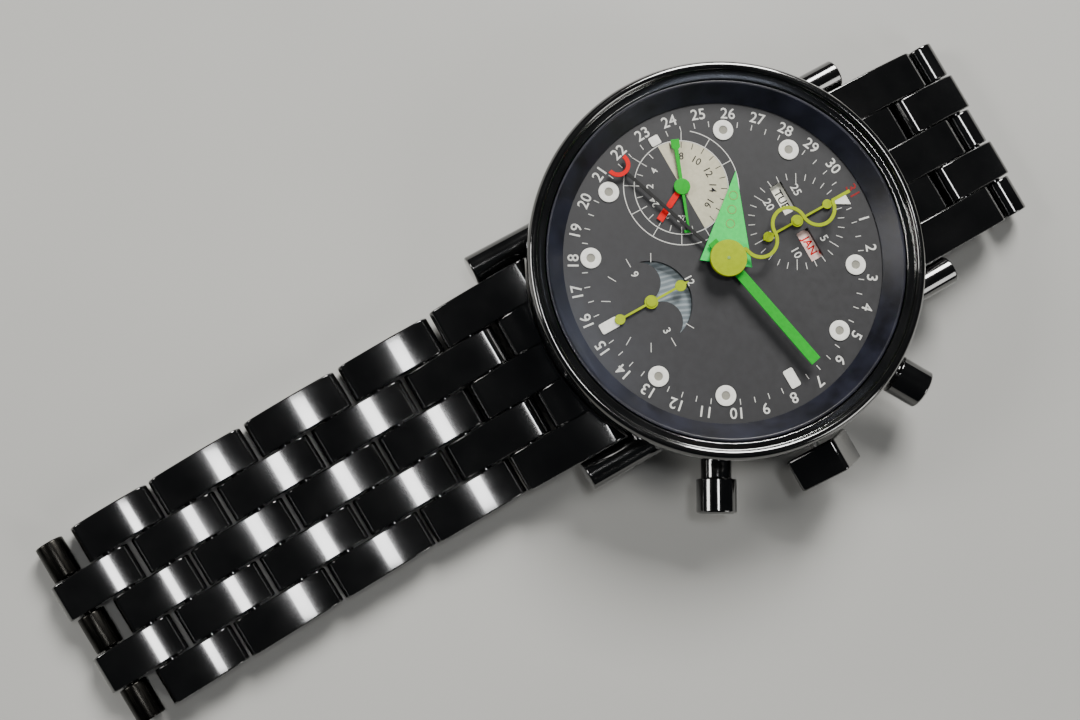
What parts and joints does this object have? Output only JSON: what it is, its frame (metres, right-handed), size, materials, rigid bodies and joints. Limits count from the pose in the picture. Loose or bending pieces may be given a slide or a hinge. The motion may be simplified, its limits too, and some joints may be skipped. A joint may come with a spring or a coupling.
{
  "type": "chronograph wristwatch",
  "caption": "Round black chronograph wristwatch with calendar and moon display, a crown and pushers, on a link bracelet laid open.",
  "frame": {"origin": "centre of the case back's flat outer face", "axes": "+Z out through the dial, +Y towards 12 o'clock along the bracelet, +X towards the crown at 3 o'clock"},
  "size_m": [0.0426, 0.1043, 0.0127],
  "materials": {
    "black_coating": "polished black hard coating over steel",
    "dial_black": "matt dark grey dial paint",
    "crystal": "clear, with fine scratches",
    "green_lacquer": "satin green lacquer",
    "yellow_lacquer": "satin yellow lacquer",
    "red_lacquer": "satin red lacquer",
    "cream_print": "matt cream paint",
    "moon_blue": "matt grey blue paint",
    "steel": "fine brushed steel",
    "brass": "gilt brass",
    "seal_rubber": "black rubber"
  },
  "bodies": {
    "head": {"case_middle": "black_coating", "case_back": "black_coating", "case_back_gasket": "seal_rubber", "bezel": "black_coating", "crystal": "crystal", "dial_flange": "black_coating", "dial": "dial_black", "movement_ring": "brass", "main_plate": "brass", "train_bridge": "brass", "rotor_bearing": "steel", "crown_tube": "steel", "start_pusher_tube": "steel", "reset_pusher_tube": "steel", "spring_bar_12": "steel", "spring_bar_6": "steel", "end_link_12": "black_coating", "end_link_6": "black_coating"},
    "winding_stem": {"winding_stem": "steel"},
    "crown": {"crown": "black_coating"},
    "start_pusher": {"start_pusher": "black_coating"},
    "reset_pusher": {"reset_pusher": "black_coating"},
    "running_seconds": {"small_seconds_hand": "green_lacquer", "fourth_wheel": "brass"},
    "minute_hand": {"minute_hand": "green_lacquer"},
    "hour_hand": {"hour_hand": "green_lacquer"},
    "day_night_hand": {"day_night_hand": "red_lacquer"},
    "date_hand": {"date_hand": "red_lacquer"},
    "chronograph_seconds": {"chronograph_seconds_hand": "yellow_lacquer"},
    "thirty_minute_counter": {"thirty_minute_hand": "yellow_lacquer"},
    "twelve_hour_counter": {"twelve_hour_hand": "yellow_lacquer"},
    "day_disc": {"day_disc": "cream_print"},
    "month_disc": {"month_disc": "cream_print"},
    "moon_disc": {"moon_disc": "moon_blue"},
    "third_wheel": {"third_wheel": "brass"},
    "escape_wheel": {"escape_wheel": "steel"},
    "mainspring_barrel": {"mainspring_barrel": "brass"},
    "winding_rotor": {"winding_rotor": "steel"},
    "balance_wheel": {"balance_wheel": "brass"},
    "inner_links_1": {"inner_link_1_9_side": "black_coating", "inner_link_1_3_side": "black_coating"},
    "outer_links_1": {"outer_links_1": "black_coating"},
    "inner_links_2": {"inner_link_2_9_side": "black_coating", "inner_link_2_3_side": "black_coating"},
    "outer_links_2": {"outer_links_2": "black_coating"},
    "inner_links_3": {"inner_link_3_9_side": "black_coating", "inner_link_3_3_side": "black_coating"},
    "outer_links_3": {"outer_links_3": "black_coating"},
    "inner_links_4": {"inner_link_4_9_side": "black_coating", "inner_link_4_3_side": "black_coating"},
    "outer_links_4": {"outer_links_4": "black_coating"},
    "inner_links_5": {"inner_link_5_9_side": "black_coating", "inner_link_5_3_side": "black_coating"},
    "clasp_knuckle_6": {"clasp_knuckle_6": "steel"},
    "short_inner_links": {"short_inner_link_9_side": "black_coating", "short_inner_link_3_side": "black_coating"},
    "clasp_knuckle_12": {"clasp_knuckle_12": "black_coating"}
  },
  "joints": [
    {"name": "crown_pull", "type": "slide", "parent": "head", "child": "winding_stem", "axis": [1, 0, 0], "range_m": [0, 0.0012]},
    {"name": "crown_turn", "type": "hinge", "parent": "winding_stem", "child": "crown", "pos_m": [0.0199, 0, 0.005], "axis": [1, 0, 0], "continuous": true},
    {"name": "start_pusher_press", "type": "slide", "parent": "head", "child": "start_pusher", "axis": [-0.8572, -0.515, 0], "range_m": [0, 0.0009], "stiffness_N_per_m": 800, "springref_m": -0.0005},
    {"name": "reset_pusher_press", "type": "slide", "parent": "head", "child": "reset_pusher", "axis": [-0.866, 0.5, 0], "range_m": [0, 0.0009], "stiffness_N_per_m": 800, "springref_m": -0.0005},
    {"name": "running_seconds_turn", "type": "hinge", "parent": "head", "child": "running_seconds", "pos_m": [-0.0083, 0, 0.0096], "axis": [0, 0, -1], "continuous": true},
    {"name": "minute_hand_turn", "type": "hinge", "parent": "head", "child": "minute_hand", "pos_m": [0, 0, 0.0107], "axis": [0, 0, -1], "continuous": true},
    {"name": "hour_hand_turn", "type": "hinge", "parent": "head", "child": "hour_hand", "pos_m": [0, 0, 0.0103], "axis": [0, 0, -1], "continuous": true},
    {"name": "day_night_hand_turn", "type": "hinge", "parent": "head", "child": "day_night_hand", "pos_m": [-0.0083, 0, 0.0096], "axis": [0, 0, -1], "continuous": true},
    {"name": "date_hand_turn", "type": "hinge", "parent": "head", "child": "date_hand", "pos_m": [0, 0, 0.01], "axis": [0, 0, -1], "continuous": true},
    {"name": "chronograph_seconds_turn", "type": "hinge", "parent": "head", "child": "chronograph_seconds", "pos_m": [0, 0, 0.011], "axis": [0, 0, -1], "continuous": true},
    {"name": "thirty_minute_counter_turn", "type": "hinge", "parent": "head", "child": "thirty_minute_counter", "pos_m": [0, 0.0083, 0.0096], "axis": [0, 0, -1], "continuous": true},
    {"name": "twelve_hour_counter_turn", "type": "hinge", "parent": "head", "child": "twelve_hour_counter", "pos_m": [0, -0.0083, 0.0096], "axis": [0, 0, -1], "continuous": true},
    {"name": "day_disc_turn", "type": "hinge", "parent": "head", "child": "day_disc", "pos_m": [-0.0052, 0.0076, 0.0086], "axis": [0, 0, -1], "continuous": true},
    {"name": "month_disc_turn", "type": "hinge", "parent": "head", "child": "month_disc", "pos_m": [0.0052, 0.0076, 0.0086], "axis": [0, 0, -1], "continuous": true},
    {"name": "moon_disc_turn", "type": "hinge", "parent": "head", "child": "moon_disc", "pos_m": [0, -0.0083, 0.0086], "axis": [0, 0, -1], "continuous": true},
    {"name": "third_wheel_turn", "type": "hinge", "parent": "head", "child": "third_wheel", "pos_m": [-0.0032, 0.0002, 0.0056], "axis": [0, 0, -1], "continuous": true},
    {"name": "escape_wheel_turn", "type": "hinge", "parent": "head", "child": "escape_wheel", "pos_m": [-0.0093, -0.0046, 0.0056], "axis": [0, 0, -1], "continuous": true},
    {"name": "mainspring_barrel_turn", "type": "hinge", "parent": "head", "child": "mainspring_barrel", "pos_m": [-0.0035, 0.0075, 0.0045], "axis": [0, 0, -1], "continuous": true},
    {"name": "winding_rotor_turn", "type": "hinge", "parent": "head", "child": "winding_rotor", "pos_m": [0, 0, 0.0025], "axis": [0, 0, -1], "continuous": true},
    {"name": "balance_swing", "type": "hinge", "parent": "head", "child": "balance_wheel", "pos_m": [-0.0056, -0.0063, 0.0048], "axis": [0, 0, -1], "range_deg": [-270, 270]},
    {"name": "link_6_pin_1", "type": "hinge", "parent": "head", "child": "inner_links_1", "pos_m": [0, -0.0243, 0.0034], "axis": [1, 0, 0], "range_deg": [-8, 25]},
    {"name": "link_6_pin_2", "type": "hinge", "parent": "inner_links_1", "child": "outer_links_1", "pos_m": [0.00004, -0.02931, 0.002], "axis": [0.9999, 0.0154, 0], "range_deg": [-8, 25]},
    {"name": "link_6_pin_3", "type": "hinge", "parent": "outer_links_1", "child": "inner_links_2", "pos_m": [0.00012, -0.0345, 0.0017], "axis": [0.9999, 0.0154, 0], "range_deg": [-8, 25]},
    {"name": "link_6_pin_4", "type": "hinge", "parent": "inner_links_2", "child": "outer_links_2", "pos_m": [0.00024, -0.0397, 0.00155], "axis": [0.9995, 0.0307, 0], "range_deg": [-8, 25]},
    {"name": "link_6_pin_5", "type": "hinge", "parent": "outer_links_2", "child": "inner_links_3", "pos_m": [0.0004, -0.04489, 0.00155], "axis": [0.9995, 0.0307, 0], "range_deg": [-8, 25]},
    {"name": "link_6_pin_6", "type": "hinge", "parent": "inner_links_3", "child": "outer_links_3", "pos_m": [0.0006, -0.05009, 0.00155], "axis": [0.9993, 0.0384, 0], "range_deg": [-8, 25]},
    {"name": "link_6_pin_7", "type": "hinge", "parent": "outer_links_3", "child": "inner_links_4", "pos_m": [0.0008, -0.05528, 0.00155], "axis": [0.9993, 0.0384, 0], "range_deg": [-8, 25]},
    {"name": "link_6_pin_8", "type": "hinge", "parent": "inner_links_4", "child": "outer_links_4", "pos_m": [0.00097, -0.05988, 0.00155], "axis": [0.9993, 0.0384, 0], "range_deg": [-8, 25]},
    {"name": "link_6_pin_9", "type": "hinge", "parent": "outer_links_4", "child": "inner_links_5", "pos_m": [0.00114, -0.06418, 0.00155], "axis": [0.9993, 0.0384, 0], "range_deg": [-8, 25]},
    {"name": "link_6_pin_10", "type": "hinge", "parent": "inner_links_5", "child": "clasp_knuckle_6", "pos_m": [0.0013, -0.06848, 0.00155], "axis": [0.9993, 0.0384, 0], "range_deg": [-8, 25]},
    {"name": "link_12_pin_1", "type": "hinge", "parent": "head", "child": "short_inner_links", "pos_m": [0, 0.0274, 0.0032], "axis": [-1, 0, 0], "range_deg": [-8, 25]},
    {"name": "link_12_pin_2", "type": "hinge", "parent": "short_inner_links", "child": "clasp_knuckle_12", "pos_m": [0, 0.03168, 0.0018], "axis": [-1, 0, 0], "range_deg": [-8, 25]}
  ],
  "couplings": [
    {"joint": "minute_hand_turn", "follows": "running_seconds_turn", "ratio": 0.016667},
    {"joint": "hour_hand_turn", "follows": "running_seconds_turn", "ratio": 0.0013889},
    {"joint": "day_night_hand_turn", "follows": "running_seconds_turn", "ratio": 0.00069444},
    {"joint": "third_wheel_turn", "follows": "running_seconds_turn", "ratio": -0.13333},
    {"joint": "escape_wheel_turn", "follows": "running_seconds_turn", "ratio": -10},
    {"joint": "mainspring_barrel_turn", "follows": "running_seconds_turn", "ratio": -0.0020833},
    {"joint": "thirty_minute_counter_turn", "follows": "chronograph_seconds_turn", "ratio": 0.033333},
    {"joint": "twelve_hour_counter_turn", "follows": "chronograph_seconds_turn", "ratio": 0.0013889}
  ]
}
